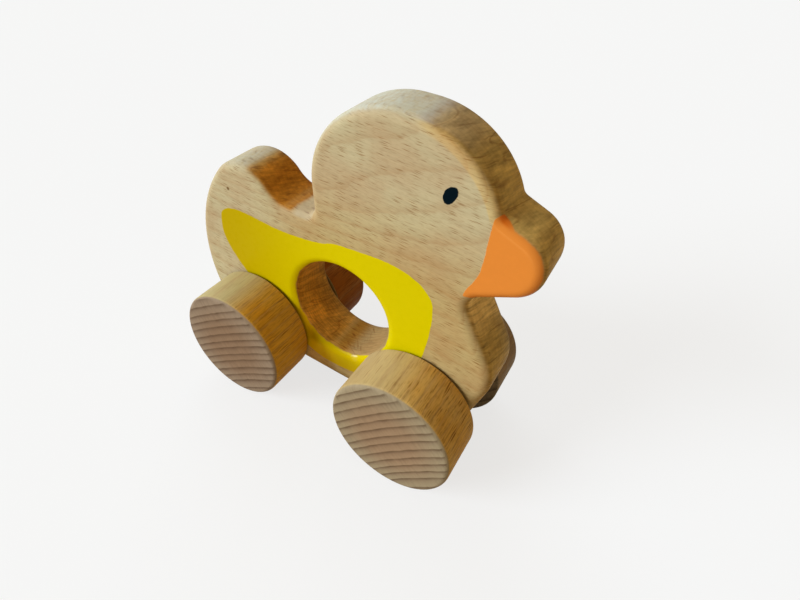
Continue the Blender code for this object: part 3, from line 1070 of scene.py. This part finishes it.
    def _close_flank(self, bm: BMesh, rims: Edges) -> None:
        """Closes the flat flank and cuts it into a grid that is fine enough to carry the paint's outlines.

        Args:
            bm: the mesh.
            rims: the edges round the flank and its holes.
        """
        filled = bmesh.ops.triangle_fill(bm, edges=rims, use_beauty=True, use_dissolve=False)["geom"]
        faces = [item for item in filled if isinstance(item, bmesh.types.BMFace)]
        inner = [item for item in filled if isinstance(item, bmesh.types.BMEdge) and item not in set(rims)]
        merged = bmesh.ops.dissolve_limit(bm, angle_limit=self.flat_angle, verts=[], edges=inner)["region"]
        faces = [face for face in faces if face.is_valid] + [f for f in merged if f.is_valid]
        around = (item for face in faces for item in (face, *face.edges, *face.verts))
        geom: list = list(dict.fromkeys(around))
        corners = [vert.co for face in faces for vert in face.verts]
        for axis in (Vector((1, 0, 0)), Vector((0, 0, 1))):
            low = min(co.dot(axis) for co in corners)
            high = max(co.dot(axis) for co in corners)
            for step in range(1, math.ceil((high - low) / self.grid)):
                place = axis * (low + step * self.grid)
                cut = {"dist": self.cut_distance, "plane_co": place, "plane_no": axis}
                geom = bmesh.ops.bisect_plane(bm, geom=geom, **cut)["geom"]

    def dress(self) -> None:
        """Models the board and finishes it as a piece."""
        cut = BeechCut((0.0, 0.0, 0.055), (1.0, 0.0, -0.07), (0.0, -0.97, 0.24), 600.0, 1.7)
        material = PaintedBeechFinish(cut).material("painted_beech_board")
        piece = Berth("chick_board", "body", "body", "body_beech").settle(self.build(), material)
        flat = np.array([(vert.co.x / MM, vert.co.z / MM) for vert in piece.data.vertices])
        for name, spots in (("wing", self._smooth(self.WING)), ("beak", np.array(self.BEAK))):
            layer = piece.data.attributes.new(name, "FLOAT", "POINT")
            layer.data.foreach_set("value", self._inside(flat, spots).astype(np.float32))

    @staticmethod
    def _smooth(spots: tuple[Spot, ...], steps: int = 6) -> np.ndarray:
        """Rounds a closed outline.

        Args:
            spots: points that it passes through.
            steps: how many points it gets for each.

        Returns:
            The points of a smooth outline.
        """
        p = np.array(spots)
        before, after, beyond = np.roll(p, 1, 0), np.roll(p, -1, 0), np.roll(p, -2, 0)
        runs = []
        for t in np.arange(steps) / steps:
            runs.append(
                0.5 * (2 * p + (after - before) * t + (2 * before - 5 * p + 4 * after - beyond) * t**2)
                + 0.5 * (3 * p - before - 3 * after + beyond) * t**3
            )
        return np.stack(runs, 1).reshape(-1, 2)

    @staticmethod
    def _inside(points: np.ndarray, outline: np.ndarray) -> np.ndarray:
        """How deep points lie in an outline.

        Args:
            points: the points, one to a row.
            outline: the corners of a closed outline, one to a row.

        Returns:
            Each point's distance from the outline, above zero inside.
        """
        nearest = np.full(len(points), np.inf)
        crossings = np.zeros(len(points), bool)
        for a, b in zip(outline, np.roll(outline, -1, 0)):
            along = b - a
            share = np.clip((points - a) @ along / (along @ along), 0, 1)
            nearest = np.minimum(nearest, np.linalg.norm(points - a - share[:, None] * along, axis=1))
            if a[1] != b[1]:
                spans = (a[1] > points[:, 1]) != (b[1] > points[:, 1])
                crossings ^= spans & (points[:, 0] < a[0] + (points[:, 1] - a[1]) / along[1] * along[0])
        return np.where(crossings, nearest, -nearest)


@dataclass
class Wheelset:
    """A dowel axle with its two turned wheels.

    Attributes:
        end: which axle it is.
        slices: the wood of the right and the left wheel.
    """

    end: End
    slices: dict[Side, RodSlice]
    wheel_radius: float = 0.0200
    wheel_width: float = 0.0168
    wheel_round: float = 0.0015
    inner_round: float = 0.0005
    inner_face: float = 0.00945
    socket_radius: float = 0.0042
    socket_depth: float = 0.0110
    axle_radius: float = 0.0040
    axle_half: float = 0.02025
    axle_chamfer: float = 0.0006
    round_steps: int = 8
    wheel_sides: int = 160
    axle_sides: int = 64

    @property
    def hub(self) -> Vector:
        """The middle of the axle."""
        return Vector((self.end.value * WHEELBASE / 2, 0.0, AXLE_HEIGHT))

    def wheel_section(self) -> list[Spot]:
        """Half a wheel's section.

        Returns:
            Radius and distance from the outer face, from the middle of that face to the bottom of the socket.
        """
        rim = self.wheel_radius - self.wheel_round
        outer = self._rim(self.wheel_round)
        inner = [(r, self.wheel_width - t) for r, t in reversed(self._rim(self.inner_round))]
        cap = self.wheel_width - self.socket_depth
        socket = [(self.socket_radius, self.wheel_width), (self.socket_radius, cap), (0.0, cap)]
        return [(0.0, 0.0), (rim / 3, 0.0), (rim * 2 / 3, 0.0), *outer, *inner, *socket]

    def _rim(self, fillet: float) -> list[Spot]:
        """Section of a rounded rim from the flat face to the tread, as radius and distance from that face."""
        flat, turns = self.wheel_radius - fillet, quarter_turn(self.round_steps)
        return [(flat + fillet * math.sin(a), fillet * (1 - math.cos(a))) for a in turns]

    def axle_section(self) -> list[Spot]:
        """Half a dowel's section.

        Returns:
            Radius and place along the axle, from one end to the other.
        """
        end, neck = self.axle_half, self.axle_radius - self.axle_chamfer
        right = [(0.0, -end), (neck, -end), (self.axle_radius, self.axle_chamfer - end)]
        return right + [(r, -y) for r, y in reversed(right)]

    def turn(self, section: list[Spot], sides: int) -> BMesh:
        """Turns a section about the axle.

        Args:
            section: radius and y of its points.
            sides: how many steps the turn has.

        Returns:
            The turned mesh.
        """
        bm = bmesh.new()
        verts = [bm.verts.new(self.hub + Vector((0.0, y, radius))) for radius, y in section]
        edges = [bm.edges.new(pair) for pair in zip(verts, verts[1:])]
        turn = {"cent": self.hub, "axis": AXLE_WAY, "angle": 2 * math.pi, "steps": sides, "use_merge": True}
        bmesh.ops.spin(bm, geom=verts + edges, **turn)
        return bm

    def build(self) -> None:
        """Models and dresses the axle and both wheels."""
        end = self.end.name.lower()
        body = f"{end}_wheelset"
        cut = BeechCut(tuple(self.hub), AXLE_WAY, (0.5, 0.0, 0.8), 40.0, 2.2)
        berth = Berth(f"{end}_dowel", body, f"{end}_axle", "axle_beech")
        material = BeechFinish(cut).material(f"{end}_dowel_beech")
        berth.settle(self.turn(self.axle_section(), self.axle_sides), material)
        outer = self.inner_face + self.wheel_width
        for side, wood in self.slices.items():
            name = f"{end}_{side.name.lower()}"
            centre = tuple(self.hub + Vector((0.0, side.value * outer, 0.0)))
            cut = BeechCut(centre, AXLE_WAY, wood.heart, wood.heart_distance, wood.ring_gap)
            finish = WheelBeechFinish(cut, wood.tones, fleck_contrast=wood.flecks)
            section = [(radius, side.value * (outer - inwards)) for radius, inwards in self.wheel_section()]
            berth = Berth(f"{name}_turned_wheel", body, f"{name}_wheel", "wheel_beech")
            berth.settle(self.turn(section, self.wheel_sides), finish.material(f"{name}_wheel_beech"))


@dataclass(frozen=True)
class Lamp:
    """A distant soft lamp: its direction from the toy, its spread in degrees, its strength and its colour."""

    name: str
    direction: Point
    spread: float
    strength: float
    tone: Point

    def hang(self) -> None:
        """Adds the lamp to the scene."""
        light = bpy.data.lights.new(self.name, "SUN")
        light.angle = math.radians(self.spread)
        light.energy = self.strength
        light.color = self.tone
        lamp = add_object(self.name, light)
        lamp.location = self.direction
        lamp.rotation_euler = Vector(self.direction).to_track_quat("Z", "Y").to_euler()


@dataclass
class Studio:
    """Camera, floor, lamps and sky."""

    camera_place: Point = (0.072259, -0.111137, 0.161986)
    camera_turn: Point = (53.174, -2.798, 32.861)
    lens: float = 24.73
    sensor: float = 36.0
    shift: Spot = (0.0363, -0.0727)
    nearest: float = 0.005
    floor_radius: float = 6.0
    floor_sides: int = 96
    floor_roughness: float = 0.9
    floor_tone: float = 0.22
    floor_glow: float = 0.735
    floor_bounce: Colour = (0.52, 0.41, 0.26, 1.0)
    backdrop: float = 0.93
    sky: Colour = (0.36, 0.29, 0.175, 1.0)

    LOOKS = ("Is Camera Ray", "Is Glossy Ray", "Is Transmission Ray")

    def set_camera(self) -> None:
        """Adds the camera at the photograph's place."""
        data = bpy.data.cameras.new("camera")
        data.sensor_width = self.sensor
        data.lens = self.lens
        data.shift_x, data.shift_y = self.shift
        data.clip_start = self.nearest
        camera = add_object("camera", data)
        camera.location = self.camera_place
        camera.rotation_euler = [math.radians(angle) for angle in self.camera_turn]
        bpy.context.scene.camera = camera

    def lay_floor(self) -> None:
        """Adds the floor, which isn't part of the toy."""
        bm = bmesh.new()
        bmesh.ops.create_circle(bm, cap_ends=True, segments=self.floor_sides, radius=self.floor_radius)
        mesh = bpy.data.meshes.new("floor")
        bm.to_mesh(mesh)
        bm.free()
        material = bpy.data.materials.new("pale_floor")
        graph = Graph(material)
        looked_at = self._looked_at(graph)
        graph.close(
            {
                "Base Color": graph.blend(looked_at, self.floor_bounce, self._grey(self.floor_tone)),
                "Roughness": self.floor_roughness,
                "Specular IOR Level": 0.0,
                "Emission Color": graph.blend(looked_at, self._grey(0.0), self._grey(self.floor_glow)),
                "Emission Strength": 1.0,
            }
        )
        mesh.materials.append(material)
        floor = add_object("floor", mesh)

    @staticmethod
    def _grey(level: float) -> Colour:
        """A grey of that level."""
        return (level, level, level, 1.0)

    def _looked_at(self, graph: Graph) -> Signal:
        """1 where a surface is seen directly, in a reflection or through glass."""
        outputs = graph.node("ShaderNodeLightPath").socket.node.outputs
        return reduce(Signal.at_least, (Signal(graph, outputs[name]) for name in self.LOOKS))

    def light(self) -> None:
        """Adds the sky and the lamps."""
        world = bpy.data.worlds.new("studio")
        bpy.context.scene.world = world
        graph = Graph(world)
        tone = graph.blend(self._looked_at(graph), self.sky, self._grey(self.backdrop))
        shade = graph.node("ShaderNodeBackground", None, {"Color": tone, "Strength": 1.0})
        graph.node("ShaderNodeOutputWorld", None, {"Surface": shade})
        Lamp("window", (-0.62, -0.68, 0.38), 30.0, 3.4, (0.88, 1.0, 1.12)).hang()
        Lamp("rim", (-0.62, 0.55, 0.50), 50.0, 1.0, (0.80, 0.95, 1.15)).hang()


def main() -> None:
    """Builds the studio, the board and both wheelsets."""
    logging.basicConfig(level=logging.INFO, format="%(name)s: %(message)s")
    bpy.context.scene.view_settings.view_transform = "Standard"
    studio = Studio()
    studio.set_camera()
    studio.lay_floor()
    studio.light()
    ChickBody().dress()
    front = {
        Side.RIGHT: RodSlice((0.719, 0.0, -0.695), 220.0, GOLDEN),
        Side.LEFT: RodSlice((-0.6, 0.0, 0.7), 50.0, RUSSET),
    }
    rear = {
        Side.RIGHT: RodSlice((0.574, 0.0, -0.819), 260.0, TAWNY, 0.55),
        Side.LEFT: RodSlice((0.8, 0.0, 0.5), 58.0, UMBER),
    }
    Wheelset(End.FRONT, front).build()
    Wheelset(End.REAR, rear).build()


if __name__ == "__main__":
    main()
